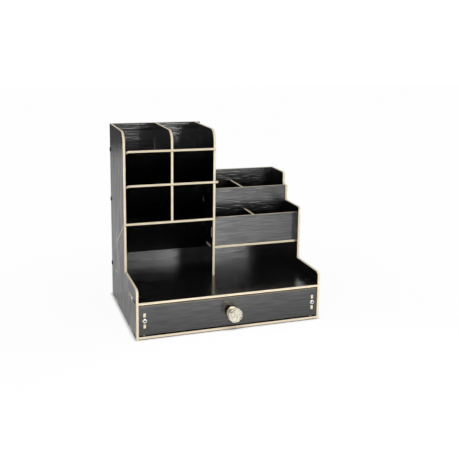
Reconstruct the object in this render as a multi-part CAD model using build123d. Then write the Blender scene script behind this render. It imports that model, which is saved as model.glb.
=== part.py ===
from build123d import *
import math
import os

# A desk organizer cut from flat boards that lock together with tabs and slots.
# All sizes are in millimetres. X runs across from left to right, Y from front to back, Z up.
# "Across" values are measured from the left outer face, depths from the front plane of the case
# and heights from the surface that the organizer stands on.

# Boards and their joints
BOARD = 4.0
FIT = 0.1  # gap on each side of a tab or crossing board in its slot
TAB = 22.0
SHORT_TAB = 11.0

# Case
CASE_WIDTH = 330.0
CASE_DEPTH = 233.0
FLOOR_GAP = 1.5  # the bottom board hangs this far above the ground
TABLE_TOP = 64.5
ARM_TOP = 87.0
ARM_CORNER = 8.0
REAR_TAB_SETBACK = 36.0  # from the back panel to the rear side tabs
BACK_TAB_OFFSET = 100.0  # centre of the rear tabs of the table and bottom boards
BACK_TAB_RECESS = 1.2  # the back panel's side tabs stop short of the outer faces
BACK_TAB = 8.0
BACK_TAB_LOW = 63.5
BACK_TAB_MIDDLE = 190.0
BACK_TAB_DROP = 48.5  # from the tower's top down to the centre of the highest rear tabs

# Tower on the left, with three sloping floors and a centre divider
TOWER_HEIGHT = 333.0
TOWER_WIDTH = 165.8
TOWER_FRONT = 100.0
TOWER_CORNER = 20.0
TOWER_BACK_MARGIN = 8.0  # the back panel reaches past the tower's right wall
DIVIDER_LEFT = 84.1
DIVIDER_TAB_DROP = 39.0  # from the tower's top down to the centre of the divider's highest tab
DIVIDER_SLOT_PLAY = 0.6  # the back panel's slots reach this far past the divider on its left
TOWER_LOW_TAB = 111.0
RAMP_ANGLE = 34.5
UPPER_RAMP_DROP = 34.0  # from the tower's top down to the middle of the upper ramp's front edge
MIDDLE_RAMP_HEIGHT = 239.0  # at the middle of the front edge
LOWER_RAMP_HEIGHT = 171.3
RAMP_SIDE_GAP = 1.5
RAMP_CORNER = 7.0
RAMP_REAR_GAP = 0.4
SHORT_EAR = 45.0  # length along the slope that runs through the tower's right wall
LONG_EAR = 87.0
MIDDLE_EAR_REACH = 5.0  # the middle ramp stands out of the tower's right wall

# Two-step pen tiers on the right
SHELF_TOP = 119.0
SHELF_FRONT = 104.0
SHELF_TAB_SETBACK = 9.0
SHELF_TAB = 26.0
FRONT_TIER_FRONT = 105.4
FRONT_TIER_TOP = 172.0
REAR_TIER_FRONT = 157.2
REAR_TIER_TOP = 214.0
RIGHT_BACK_RISE = 23.0  # the back panel stands this far above the rear tier
RIGHT_TOP_FRONT = 169.0
RIGHT_STEP_FRONT = 155.0
RIGHT_STEP_TOP = 185.0
RIGHT_LOWER_FRONT = 91.0
RIGHT_CORNER = 4.0
TIER_TAB_LOW = 16.5  # above the shelf
TIER_TAB = 18.0
REAR_TIER_TAB_DROP = 17.5  # from the rear panel's top down to its upper tab
REAR_TIER_HIGH_TAB = 5.0
FRONT_DIVIDER_CENTRE = 243.5
REAR_DIVIDER_CENTRE = 239.0
DIVIDER_TAB_SETBACK = 16.0
DIVIDER_TAB = 16.0

# Drawer
DRAWER_LENGTH = 220.0
DRAWER_FRONT_LOW = 8.3
DRAWER_FRONT_TOP = 57.8
DRAWER_FRONT_GAP = 1.0  # to the side panels
DRAWER_SIDE_INSET = 12.0  # outer face of the drawer's side from the case's outer face
DRAWER_SIDE_TOP = 54.0
DRAWER_RUN = 0.3  # running gap above the bottom board
DRAWER_FLOOR_LIFT = 5.0  # the drawer's floor above the lower edge of its sides
DRAWER_FLOOR_TAB_SETBACK = 35.0
DRAWER_BACK_INSET = 5.0
DRAWER_BACK_TAB = 12.0
DRAWER_TAB = 6.8
DRAWER_TAB_GAP = 6.3  # from the bolt's axis to the tab above and the tab below it

# Bolts and square nuts
BOLT_RADIUS = 2.0
BOLT_LENGTH = 16.0
BOLT_HOLE_GAP = 0.2
HEAD_RADIUS = 4.0
HEAD_HEIGHT = 2.2
HEAD_ROUND = 1.5
SOCKET_WIDTH = 2.5
SOCKET_DEPTH = 1.3
NUT_WIDTH = 7.0
NUT_THICKNESS = 2.6
NUT_GAP = 0.1
NUT_SETBACK = 7.0  # from the board's edge to the nut
BOLT_END_GAP = 1.0
THREAD_GAP = 0.05
SIDE_BOLT_DEPTH = 30.0
SIDE_BOLT_TAB_GAP = 9.0
DRAWER_BOLT_HEIGHT = 33.2

# Knob
KNOB_HEIGHT = 33.3
STEM_LENGTH = 10.0
STEM_FLANGE_RADIUS = 11.0
STEM_FLANGE = 5.0
STEM_NECK_RADIUS = 8.6
STEM_CUP_RADIUS = 9.4
STEM_CUP = 2.0
SCREW_BITE = 7.0  # length of the screw inside the stem
CRYSTAL_RADIUS = 13.0
CRYSTAL_DEPTH = 15.0
CRYSTAL_TABLE_RADIUS = 9.0
CRYSTAL_GIRDLE_LOW = 8.5
CRYSTAL_GIRDLE_HIGH = 12.0
CRYSTAL_SIDES = 8
CRYSTAL_CORNER_SHARE = 0.955  # the facets between start at this share of the radius
CRYSTAL_CORNER_LEAN = 3.0  # the facets between are this much steeper, in degrees

# Places worked out from the sizes above
BACK_FRONT = CASE_DEPTH - BOARD  # front face of the back panel
LEFT = -CASE_WIDTH / 2
RIGHT = CASE_WIDTH / 2
INNER_LEFT = LEFT + BOARD
INNER_RIGHT = RIGHT - BOARD
TOWER_RIGHT = LEFT + TOWER_WIDTH
TOWER_INNER_RIGHT = TOWER_RIGHT - BOARD
TABLE_LOW = TABLE_TOP - BOARD
UPPER_RAMP_HEIGHT = TOWER_HEIGHT - UPPER_RAMP_DROP
RIGHT_BACK_TOP = REAR_TIER_TOP + RIGHT_BACK_RISE
BACK_TAB_HEIGHTS = (BACK_TAB_LOW, BACK_TAB_MIDDLE, TOWER_HEIGHT - BACK_TAB_DROP)
BOTTOM_TOP = FLOOR_GAP + BOARD
SHELF_LOW = SHELF_TOP - BOARD
DRAWER_LOW = BOTTOM_TOP + DRAWER_RUN
DRAWER_FLOOR = DRAWER_LOW + DRAWER_FLOOR_LIFT
DRAWER_SIDE = LEFT + DRAWER_SIDE_INSET  # outer face of the drawer's left side
DRAWER_INNER = DRAWER_SIDE + BOARD
DRAWER_BACK_REAR = DRAWER_LENGTH - DRAWER_BACK_INSET
KNOB_REACH = STEM_LENGTH + CRYSTAL_DEPTH
SLOPE = math.radians(RAMP_ANGLE)
RAMP_LENGTH = (BACK_FRONT - RAMP_REAR_GAP - TOWER_FRONT - BOARD / 2 * math.sin(SLOPE)) / math.cos(SLOPE)
HALF_LAP = RAMP_LENGTH / 2


def span(start, length):
    """Start and end of a stretch of the given length."""
    return (start, start + length)


def middle_span(centre, length):
    """Start and end of a stretch about its centre."""
    return span(centre - length / 2, length)


SIDE_TABS = (
    span(SIDE_BOLT_DEPTH - SIDE_BOLT_TAB_GAP - SHORT_TAB, SHORT_TAB),
    span(SIDE_BOLT_DEPTH + SIDE_BOLT_TAB_GAP, TAB),
    span(BACK_FRONT - REAR_TAB_SETBACK - TAB, TAB),
)
BACK_TABS = (
    middle_span(-BACK_TAB_OFFSET, TAB),
    middle_span(BACK_TAB_OFFSET, TAB),
)
TOWER_FOOT_TABS = (
    span(TOWER_FRONT + TAB, TAB),
    span(BACK_FRONT - TAB - TAB, TAB),
)
TOWER_REAR_TABS = (
    middle_span(TOWER_LOW_TAB, TAB),
    middle_span(BACK_TAB_MIDDLE, TAB),
    middle_span(TOWER_HEIGHT - BACK_TAB_DROP, TAB),
)
DIVIDER_REAR_TABS = (
    middle_span(BACK_TAB_MIDDLE, TAB),
    middle_span(TOWER_HEIGHT - DIVIDER_TAB_DROP, TAB),
)
SHELF_SIDE_TAB = span(SHELF_FRONT + SHELF_TAB_SETBACK, SHELF_TAB)
SHELF_REAR_TABS = (
    middle_span(TOWER_RIGHT + TAB + TAB, TAB),
    middle_span(INNER_RIGHT - TAB - TAB, TAB),
)
TIER_TABS = (span(SHELF_TOP + TIER_TAB_LOW, TIER_TAB),)
REAR_TIER_TABS = (
    *TIER_TABS,
    span(REAR_TIER_TOP - REAR_TIER_TAB_DROP - REAR_TIER_HIGH_TAB, REAR_TIER_HIGH_TAB),
)
FRONT_DIVIDER_X = LEFT + FRONT_DIVIDER_CENTRE - BOARD / 2
REAR_DIVIDER_X = LEFT + REAR_DIVIDER_CENTRE - BOARD / 2
FRONT_DIVIDER_FOOT = span(FRONT_TIER_FRONT + BOARD + DIVIDER_TAB_SETBACK, DIVIDER_TAB)
REAR_DIVIDER_FOOT = span(REAR_TIER_FRONT + BOARD + DIVIDER_TAB_SETBACK, DIVIDER_TAB)
DRAWER_FRONT_TABS = (
    span(DRAWER_BOLT_HEIGHT - DRAWER_TAB_GAP - DRAWER_TAB, DRAWER_TAB),
    span(DRAWER_BOLT_HEIGHT + DRAWER_TAB_GAP, DRAWER_TAB),
)
DRAWER_FLOOR_TABS = (
    span(BOARD + DRAWER_FLOOR_TAB_SETBACK, TAB),
    span(DRAWER_BACK_REAR - BOARD - DRAWER_FLOOR_TAB_SETBACK - TAB, TAB),
)
DRAWER_BACK_TABS = (middle_span((DRAWER_FLOOR + BOARD + DRAWER_SIDE_TOP) / 2, DRAWER_BACK_TAB),)


# Flat profiles and the boards cut from them


def rect(u, v):
    """Rectangle over two spans of a board's plane."""
    return Pos(sum(u) / 2, sum(v) / 2) * Rectangle(u[1] - u[0], v[1] - v[0])


def slot(u, v):
    """Opening for a tab that covers the two spans, with the fitting gap all round."""
    return rect((u[0] - FIT, u[1] + FIT), (v[0] - FIT, v[1] + FIT))


def outline(*points):
    """Closed profile with straight sides."""
    return make_face(Polyline(*points, close=True))


def rounded(profile, point, radius):
    """Profile with the corner at one point rounded."""
    corner = profile.vertices().sort_by_distance((*point, 0))[0]
    return fillet(corner, radius)


def sideways_board(x, profile):
    """Board that faces sideways, from its left face; the profile is drawn in depth and height."""
    return extrude(Plane.YZ.offset(x) * profile, BOARD)


def facing_board(y, profile):
    """Board that faces forwards, from its front face; the profile is drawn across and in height."""
    return extrude(Plane.XZ.offset(-y - BOARD) * profile, BOARD)


def level_board(z, profile):
    """Level board, from its lower face; the profile is drawn across and in depth."""
    return extrude(Plane.XY.offset(z) * profile, BOARD)


def nut_slot(inward):
    """T-shaped slot from a board's edge at the origin, for a bolt and its captured square nut."""
    bolt_half = BOLT_RADIUS + BOLT_HOLE_GAP
    nut_half = NUT_WIDTH / 2 + NUT_GAP
    channel = rect((0, BOLT_LENGTH - BOARD + BOLT_END_GAP), (-bolt_half, bolt_half))
    pocket = rect((NUT_SETBACK - NUT_GAP, NUT_SETBACK + NUT_THICKNESS + NUT_GAP), (-nut_half, nut_half))
    return Rot(0, 0, inward) * (channel + pocket)


def bolt_hole():
    """Round hole for a bolt, in a board's plane."""
    return Circle(BOLT_RADIUS + BOLT_HOLE_GAP)


# Sloping floors of the tower


def ramp_foot(height):
    """Lower front corner of a ramp, in depth and height."""
    return (
        TOWER_FRONT - BOARD / 2 * math.sin(SLOPE),
        height - BOARD / 2 * math.cos(SLOPE),
    )


def ramp_plane(height):
    """Plane of a ramp's lower face, with its second axis running down the slope to the back."""
    depth, low = ramp_foot(height)
    return Plane(origin=(0, depth, low), x_dir=(1, 0, 0), z_dir=(0, math.sin(SLOPE), math.cos(SLOPE)))


def ramp_height_at(height, depth):
    """Height of a ramp's upper face at a depth."""
    return height + BOARD / 2 / math.cos(SLOPE) - (depth - TOWER_FRONT) * math.tan(SLOPE)


def ramp_slot(height, length):
    """Sloping slot, open at the front, for the first stretch of a ramp; drawn in depth and height."""
    run = rect((-BOARD * 2, length + FIT), (-FIT, BOARD + FIT))
    return Pos(*ramp_foot(height)) * Rot(0, 0, -RAMP_ANGLE) * run


def ramp_profile(ear_right, ear_length):
    """Ramp with an ear through the tower's right wall; drawn across and downhill."""
    body = rect((INNER_LEFT + RAMP_SIDE_GAP, TOWER_INNER_RIGHT), (0, RAMP_LENGTH))
    body = rounded(body, (INNER_LEFT + RAMP_SIDE_GAP, 0), RAMP_CORNER)
    body += rect((TOWER_INNER_RIGHT - BOARD, ear_right), (0, ear_length))
    return body


def crossing_ramp(height, ear_right):
    """Upper or middle ramp, which crosses the divider in a half-lap joint."""
    divider = span(LEFT + DIVIDER_LEFT, BOARD)
    profile = ramp_profile(ear_right, SHORT_EAR)
    profile -= rect((divider[0] - FIT, divider[1] + FIT), (HALF_LAP, RAMP_LENGTH + TAB))
    return extrude(ramp_plane(height) * profile, BOARD)


def lower_ramp():
    """Lowest ramp, which runs through both walls of the tower."""
    profile = ramp_profile(TOWER_RIGHT, LONG_EAR)
    profile += rect((LEFT, INNER_LEFT + RAMP_SIDE_GAP + RAMP_CORNER), (0, LONG_EAR))
    return extrude(ramp_plane(LOWER_RAMP_HEIGHT) * profile, BOARD)


# Upright boards


def case_joints():
    """Slots, notches and bolt hole that both side panels share; drawn in depth and height."""
    cuts = Pos(SIDE_BOLT_DEPTH, TABLE_TOP - BOARD / 2) * bolt_hole()
    for depth in SIDE_TABS:
        cuts += slot(depth, (TABLE_LOW, TABLE_TOP))
        cuts += slot(depth, (FLOOR_GAP, BOTTOM_TOP))
    for height in BACK_TAB_HEIGHTS:
        cuts += slot((BACK_FRONT, CASE_DEPTH + BOARD), middle_span(height, BACK_TAB))
    return cuts


def left_side_panel():
    """Left side: a tall tower wall with a low arm in front of it."""
    profile = outline(
        (0, 0),
        (CASE_DEPTH, 0),
        (CASE_DEPTH, TOWER_HEIGHT),
        (TOWER_FRONT, TOWER_HEIGHT),
        (TOWER_FRONT, ARM_TOP),
        (0, ARM_TOP),
    )
    profile = rounded(profile, (TOWER_FRONT, TOWER_HEIGHT), TOWER_CORNER)
    profile = rounded(profile, (0, ARM_TOP), ARM_CORNER)
    profile -= case_joints()
    profile -= ramp_slot(LOWER_RAMP_HEIGHT, LONG_EAR)
    return sideways_board(LEFT, profile)


def right_side_panel():
    """Right side, which steps down with the pen tiers."""
    profile = outline(
        (0, 0),
        (CASE_DEPTH, 0),
        (CASE_DEPTH, RIGHT_BACK_TOP),
        (RIGHT_TOP_FRONT, RIGHT_BACK_TOP),
        (RIGHT_TOP_FRONT, REAR_TIER_TOP),
        (RIGHT_STEP_FRONT, REAR_TIER_TOP),
        (RIGHT_STEP_FRONT, RIGHT_STEP_TOP),
        (RIGHT_LOWER_FRONT, RIGHT_STEP_TOP),
        (RIGHT_LOWER_FRONT, ARM_TOP),
        (0, ARM_TOP),
    )
    profile = rounded(profile, (RIGHT_TOP_FRONT, RIGHT_BACK_TOP), RIGHT_CORNER)
    profile = rounded(profile, (RIGHT_STEP_FRONT, REAR_TIER_TOP), RIGHT_CORNER)
    profile = rounded(profile, (RIGHT_LOWER_FRONT, RIGHT_STEP_TOP), RIGHT_CORNER)
    profile = rounded(profile, (0, ARM_TOP), ARM_CORNER)
    profile -= case_joints()
    profile -= tier_slots()
    return sideways_board(INNER_RIGHT, profile)


def tier_slots():
    """Slots for the shelf and the two tier panels; drawn in depth and height."""
    cuts = slot(SHELF_SIDE_TAB, (SHELF_LOW, SHELF_TOP))
    for height in TIER_TABS:
        cuts += slot(span(FRONT_TIER_FRONT, BOARD), height)
    for height in REAR_TIER_TABS:
        cuts += slot(span(REAR_TIER_FRONT, BOARD), height)
    return cuts


def middle_panel():
    """Right wall of the tower, which stands on the table board."""
    profile = rect((TOWER_FRONT, BACK_FRONT), (TABLE_TOP, TOWER_HEIGHT))
    profile = rounded(profile, (TOWER_FRONT, TOWER_HEIGHT), TOWER_CORNER)
    for depth in TOWER_FOOT_TABS:
        profile += rect(depth, (TABLE_LOW, TABLE_TOP + BOARD))
    for height in TOWER_REAR_TABS:
        profile += rect((BACK_FRONT - BOARD, CASE_DEPTH), height)
    profile -= ramp_slot(UPPER_RAMP_HEIGHT, SHORT_EAR)
    profile -= ramp_slot(MIDDLE_RAMP_HEIGHT, SHORT_EAR)
    profile -= ramp_slot(LOWER_RAMP_HEIGHT, LONG_EAR)
    profile -= tier_slots()
    return sideways_board(TOWER_INNER_RIGHT, profile)


def centre_divider():
    """Divider of the tower, which stands on the lower ramp and crosses the two above it."""
    profile = outline(
        (TOWER_FRONT, ramp_height_at(LOWER_RAMP_HEIGHT, TOWER_FRONT)),
        (BACK_FRONT, ramp_height_at(LOWER_RAMP_HEIGHT, BACK_FRONT)),
        (BACK_FRONT, TOWER_HEIGHT),
        (TOWER_FRONT, TOWER_HEIGHT),
    )
    profile = rounded(profile, (TOWER_FRONT, TOWER_HEIGHT), TOWER_CORNER)
    for height in DIVIDER_REAR_TABS:
        profile += rect((BACK_FRONT - BOARD, CASE_DEPTH), height)
    profile -= ramp_slot(UPPER_RAMP_HEIGHT, HALF_LAP)
    profile -= ramp_slot(MIDDLE_RAMP_HEIGHT, HALF_LAP)
    return sideways_board(LEFT + DIVIDER_LEFT, profile)


def back_panel():
    """Back of the case: tall behind the tower and low behind the tiers."""
    tower_edge = TOWER_RIGHT + TOWER_BACK_MARGIN
    profile = outline(
        (INNER_LEFT, 0),
        (INNER_RIGHT, 0),
        (INNER_RIGHT, RIGHT_BACK_TOP),
        (tower_edge, RIGHT_BACK_TOP),
        (tower_edge, TOWER_HEIGHT),
        (INNER_LEFT, TOWER_HEIGHT),
    )
    for height in BACK_TAB_HEIGHTS:
        profile += rect((LEFT + BACK_TAB_RECESS, INNER_LEFT + BOARD), middle_span(height, BACK_TAB))
        if height < RIGHT_BACK_TOP:
            profile += rect((INNER_RIGHT - BOARD, RIGHT - BACK_TAB_RECESS), middle_span(height, BACK_TAB))
    for across in BACK_TABS:
        profile -= slot(across, (TABLE_LOW, TABLE_TOP))
        profile -= slot(across, (FLOOR_GAP, BOTTOM_TOP))
    for across in SHELF_REAR_TABS:
        profile -= slot(across, (SHELF_LOW, SHELF_TOP))
    for height in TOWER_REAR_TABS:
        profile -= slot(span(TOWER_INNER_RIGHT, BOARD), height)
    divider_slot = (LEFT + DIVIDER_LEFT - DIVIDER_SLOT_PLAY, LEFT + DIVIDER_LEFT + BOARD)
    for height in DIVIDER_REAR_TABS:
        profile -= slot(divider_slot, height)
    for height in TIER_TABS:
        profile -= slot(span(REAR_DIVIDER_X, BOARD), height)
    return facing_board(BACK_FRONT, profile)


# Level boards


def spread_board():
    """Profile of a level board between the side panels, with its side and rear tabs."""
    profile = rect((INNER_LEFT, INNER_RIGHT), (0, BACK_FRONT))
    for depth in SIDE_TABS:
        profile += rect((LEFT, RIGHT), depth)
    for across in BACK_TABS:
        profile += rect(across, (BACK_FRONT - BOARD, CASE_DEPTH))
    return profile


def bottom_board():
    """Bottom of the case, on which the drawer runs."""
    return level_board(FLOOR_GAP, spread_board())


def table_board():
    """Roof over the drawer, bolted to both side panels."""
    profile = spread_board()
    profile -= Pos(INNER_LEFT, SIDE_BOLT_DEPTH) * nut_slot(0)
    profile -= Pos(INNER_RIGHT, SIDE_BOLT_DEPTH) * nut_slot(180)
    for depth in TOWER_FOOT_TABS:
        profile -= slot(span(TOWER_INNER_RIGHT, BOARD), depth)
    return level_board(TABLE_LOW, profile)


def tier_shelf():
    """Floor of the four pen pockets."""
    profile = rect((TOWER_RIGHT, INNER_RIGHT), (SHELF_FRONT, BACK_FRONT))
    profile += rect((TOWER_INNER_RIGHT, RIGHT), SHELF_SIDE_TAB)
    for across in SHELF_REAR_TABS:
        profile += rect(across, (BACK_FRONT - BOARD, CASE_DEPTH))
    profile -= slot(span(FRONT_DIVIDER_X, BOARD), FRONT_DIVIDER_FOOT)
    profile -= slot(span(REAR_DIVIDER_X, BOARD), REAR_DIVIDER_FOOT)
    return level_board(SHELF_LOW, profile)


# Pen tiers


def tier_panel(top, tabs):
    """Profile of a tier's front, with tabs into the walls at its sides."""
    profile = rect((TOWER_RIGHT, INNER_RIGHT), (SHELF_TOP, top))
    for height in tabs:
        profile += rect((TOWER_INNER_RIGHT, RIGHT), height)
    return profile


def front_tier_panel():
    """Front of the low tier."""
    return facing_board(FRONT_TIER_FRONT, tier_panel(FRONT_TIER_TOP, TIER_TABS))


def rear_tier_panel():
    """Front of the high tier, with a slot for the divider in front of it."""
    profile = tier_panel(REAR_TIER_TOP, REAR_TIER_TABS)
    for height in TIER_TABS:
        profile -= slot(span(FRONT_DIVIDER_X, BOARD), height)
    return facing_board(REAR_TIER_FRONT, profile)


def tier_divider(x, front, rear, top, foot):
    """Divider between two boards of a tier, with a foot in the shelf and a tab in the board behind."""
    profile = rect((front, rear), (SHELF_TOP, top))
    profile += rect(foot, (SHELF_LOW, SHELF_TOP + BOARD))
    for height in TIER_TABS:
        profile += rect((rear - BOARD, rear + BOARD), height)
    return sideways_board(x, profile)


def front_tier_divider():
    """Divider of the low tier."""
    front = FRONT_TIER_FRONT + BOARD
    return tier_divider(FRONT_DIVIDER_X, front, REAR_TIER_FRONT, FRONT_TIER_TOP, FRONT_DIVIDER_FOOT)


def rear_tier_divider():
    """Divider of the high tier."""
    front = REAR_TIER_FRONT + BOARD
    return tier_divider(REAR_DIVIDER_X, front, BACK_FRONT, REAR_TIER_TOP, REAR_DIVIDER_FOOT)


# Drawer


def drawer_front():
    """Front of the drawer, flush with the case, with the tabs and bolts of its sides showing."""
    reach = RIGHT - BOARD - DRAWER_FRONT_GAP
    profile = rect((-reach, reach), (DRAWER_FRONT_LOW, DRAWER_FRONT_TOP))
    profile -= Pos(0, KNOB_HEIGHT) * bolt_hole()
    for side in (DRAWER_SIDE, -DRAWER_SIDE - BOARD):
        for height in DRAWER_FRONT_TABS:
            profile -= slot(span(side, BOARD), height)
        profile -= Pos(side + BOARD / 2, DRAWER_BOLT_HEIGHT) * bolt_hole()
    return facing_board(0, profile)


def drawer_side(x):
    """Side of the drawer, which slides on the case's bottom board."""
    profile = rect((BOARD, DRAWER_LENGTH), (DRAWER_LOW, DRAWER_SIDE_TOP))
    for height in DRAWER_FRONT_TABS:
        profile += rect((0, BOARD + BOARD), height)
    for depth in DRAWER_FLOOR_TABS:
        profile -= slot(depth, span(DRAWER_FLOOR, BOARD))
    for height in DRAWER_BACK_TABS:
        profile -= slot(span(DRAWER_BACK_REAR - BOARD, BOARD), height)
    profile -= Pos(BOARD, DRAWER_BOLT_HEIGHT) * nut_slot(0)
    return sideways_board(x, profile)


def drawer_floor():
    """Floor of the drawer, held by tabs in its sides."""
    profile = rect((DRAWER_INNER, -DRAWER_INNER), (BOARD, DRAWER_BACK_REAR - BOARD))
    for depth in DRAWER_FLOOR_TABS:
        profile += rect((DRAWER_SIDE, -DRAWER_SIDE), depth)
    return level_board(DRAWER_FLOOR, profile)


def drawer_back():
    """Back of the drawer."""
    profile = rect((DRAWER_INNER, -DRAWER_INNER), (DRAWER_FLOOR, DRAWER_SIDE_TOP))
    for height in DRAWER_BACK_TABS:
        profile += rect((DRAWER_SIDE, -DRAWER_SIDE), height)
    return facing_board(DRAWER_BACK_REAR - BOARD, profile)


# Fasteners, each drawn along Z with its seat at the origin and its head above


def bolt(length):
    """Button-head bolt with a hexagon socket."""
    head = Cylinder(HEAD_RADIUS, HEAD_HEIGHT, align=(Align.CENTER, Align.CENTER, Align.MIN))
    head = fillet(head.edges().sort_by(Axis.Z)[-1], HEAD_ROUND)
    shank = Cylinder(BOLT_RADIUS, length, align=(Align.CENTER, Align.CENTER, Align.MAX))
    socket = extrude(RegularPolygon(SOCKET_WIDTH / 2, 6), HEAD_HEIGHT)
    return head + shank - Pos(0, 0, HEAD_HEIGHT - SOCKET_DEPTH) * socket


def nut():
    """Square nut behind the board's edge, on the bolt's axis."""
    body = Box(NUT_WIDTH, NUT_WIDTH, NUT_THICKNESS, align=(Align.CENTER, Align.CENTER, Align.MAX))
    return Pos(0, 0, -BOARD - NUT_SETBACK) * body - Cylinder(BOLT_RADIUS + THREAD_GAP, 2 * BOLT_LENGTH)


def case_seats():
    """Places of the two bolts through the side panels, with Z pointing out of the case."""
    centre = (SIDE_BOLT_DEPTH, TABLE_TOP - BOARD / 2)
    return (
        Plane(origin=(LEFT, *centre), x_dir=(0, 1, 0), z_dir=(-1, 0, 0)),
        Plane(origin=(RIGHT, *centre), x_dir=(0, 1, 0), z_dir=(1, 0, 0)),
    )


def drawer_seats():
    """Places of the two bolts through the drawer's front."""
    offset = -DRAWER_SIDE - BOARD / 2
    return tuple(
        Plane(origin=(x, 0, DRAWER_BOLT_HEIGHT), x_dir=(1, 0, 0), z_dir=(0, -1, 0)) for x in (-offset, offset)
    )


def group(shape, seats):
    """One copy of a fastener on each seat."""
    return Compound([(seat * shape).solid() for seat in seats])


# Knob, drawn along Z with its seat on the drawer's front at the origin


def knob_stem():
    """Turned metal stem with a flange on the drawer's front and a cup that carries the crystal."""
    cup_low = STEM_LENGTH - STEM_CUP
    neck = (STEM_FLANGE + cup_low) / 2
    waist = ThreePointArc(
        (STEM_FLANGE_RADIUS, STEM_FLANGE),
        (STEM_NECK_RADIUS, neck),
        (STEM_CUP_RADIUS, cup_low),
    )
    rest = Polyline(
        (STEM_CUP_RADIUS, cup_low),
        (STEM_CUP_RADIUS, STEM_LENGTH),
        (0, STEM_LENGTH),
        (0, 0),
        (STEM_FLANGE_RADIUS, 0),
        (STEM_FLANGE_RADIUS, STEM_FLANGE),
    )
    body = revolve(Plane.XZ * make_face(waist + rest), Axis.Z)
    bore_depth = SCREW_BITE + BOLT_END_GAP
    bore = Cylinder(BOLT_RADIUS + THREAD_GAP, bore_depth, align=(Align.CENTER, Align.CENTER, Align.MIN))
    return body - bore


def facet_cut(radius, height, lean, turn):
    """Half-space outside one facet that passes through a point and leans in by an angle."""
    out = Vector(math.cos(turn), math.sin(turn), 0)
    normal = out * math.cos(lean) + Vector(0, 0, 1) * math.sin(lean)
    face = Plane(origin=out * radius + Vector(0, 0, height), z_dir=normal)
    reach = 4 * CRYSTAL_RADIUS
    return face * Box(reach, reach, reach, align=(Align.CENTER, Align.CENTER, Align.MIN))


def knob_crystal():
    """Cut crystal: two rows of facets above the girdle and two below it, about a flat table."""
    step = 2 * math.pi / CRYSTAL_SIDES
    flat = CRYSTAL_RADIUS * math.cos(step / 2)
    crown = math.atan2(flat - CRYSTAL_TABLE_RADIUS, CRYSTAL_DEPTH - CRYSTAL_GIRDLE_HIGH)
    pavilion = math.atan2(flat - STEM_CUP_RADIUS, CRYSTAL_GIRDLE_LOW)
    steep = math.radians(CRYSTAL_CORNER_LEAN)
    corner = CRYSTAL_RADIUS * CRYSTAL_CORNER_SHARE
    body = Cylinder(CRYSTAL_RADIUS, CRYSTAL_DEPTH, align=(Align.CENTER, Align.CENTER, Align.MIN))
    cuts = []
    for index in range(CRYSTAL_SIDES):
        turn = index * step
        between = turn + step / 2
        cuts.append(facet_cut(flat, 0, 0, turn))
        cuts.append(facet_cut(flat, CRYSTAL_GIRDLE_HIGH, crown, turn))
        cuts.append(facet_cut(flat, CRYSTAL_GIRDLE_LOW, -pavilion, turn))
        cuts.append(facet_cut(corner, CRYSTAL_GIRDLE_HIGH, crown - steep, between))
        cuts.append(facet_cut(corner, CRYSTAL_GIRDLE_LOW, steep - pavilion, between))
    for cut in cuts:
        body -= cut
    return body


def knob_seat():
    """Place of the knob, with Z pointing forwards out of the drawer."""
    return Plane(origin=(0, 0, KNOB_HEIGHT), x_dir=(1, 0, 0), z_dir=(0, -1, 0))


def knob_screw():
    """Screw from inside the drawer, through its front and into the stem."""
    return Pos(0, 0, -BOARD) * Rot(180, 0, 0) * bolt(BOARD + SCREW_BITE)


def all_nodes():
    """Every piece under its name, in case coordinates."""
    seat = knob_seat()
    return {
        "left_side_panel": left_side_panel(),
        "right_side_panel": right_side_panel(),
        "middle_panel": middle_panel(),
        "centre_divider": centre_divider(),
        "back_panel": back_panel(),
        "table_board": table_board(),
        "bottom_board": bottom_board(),
        "upper_ramp": crossing_ramp(UPPER_RAMP_HEIGHT, TOWER_RIGHT),
        "middle_ramp": crossing_ramp(MIDDLE_RAMP_HEIGHT, TOWER_RIGHT + MIDDLE_EAR_REACH),
        "lower_ramp": lower_ramp(),
        "tier_shelf": tier_shelf(),
        "front_tier_panel": front_tier_panel(),
        "rear_tier_panel": rear_tier_panel(),
        "front_tier_divider": front_tier_divider(),
        "rear_tier_divider": rear_tier_divider(),
        "case_bolts": group(bolt(BOLT_LENGTH), case_seats()),
        "case_nuts": group(nut(), case_seats()),
        "drawer_front": drawer_front(),
        "drawer_left_side": drawer_side(DRAWER_SIDE),
        "drawer_right_side": drawer_side(-DRAWER_SIDE - BOARD),
        "drawer_floor": drawer_floor(),
        "drawer_back": drawer_back(),
        "drawer_bolts": group(bolt(BOLT_LENGTH), drawer_seats()),
        "drawer_nuts": group(nut(), drawer_seats()),
        "knob_stem": seat * knob_stem(),
        "knob_crystal": seat * Pos(0, 0, STEM_LENGTH) * knob_crystal(),
        "knob_screw": seat * knob_screw(),
    }


def main():
    """Writes each piece with the origin on the ground, under the middle of the whole object."""
    os.makedirs("parts", exist_ok=True)
    centred = Pos(0, (KNOB_REACH - CASE_DEPTH) / 2, 0)
    for name, shape in all_nodes().items():
        export_step(centred * shape, f"parts/{name}.step")


main()
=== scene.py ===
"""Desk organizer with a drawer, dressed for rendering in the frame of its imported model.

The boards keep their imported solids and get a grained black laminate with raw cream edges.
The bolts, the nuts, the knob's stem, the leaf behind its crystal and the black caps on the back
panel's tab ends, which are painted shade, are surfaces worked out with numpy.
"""

import bpy
import numpy as np
from mathutils import Matrix, Vector


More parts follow.
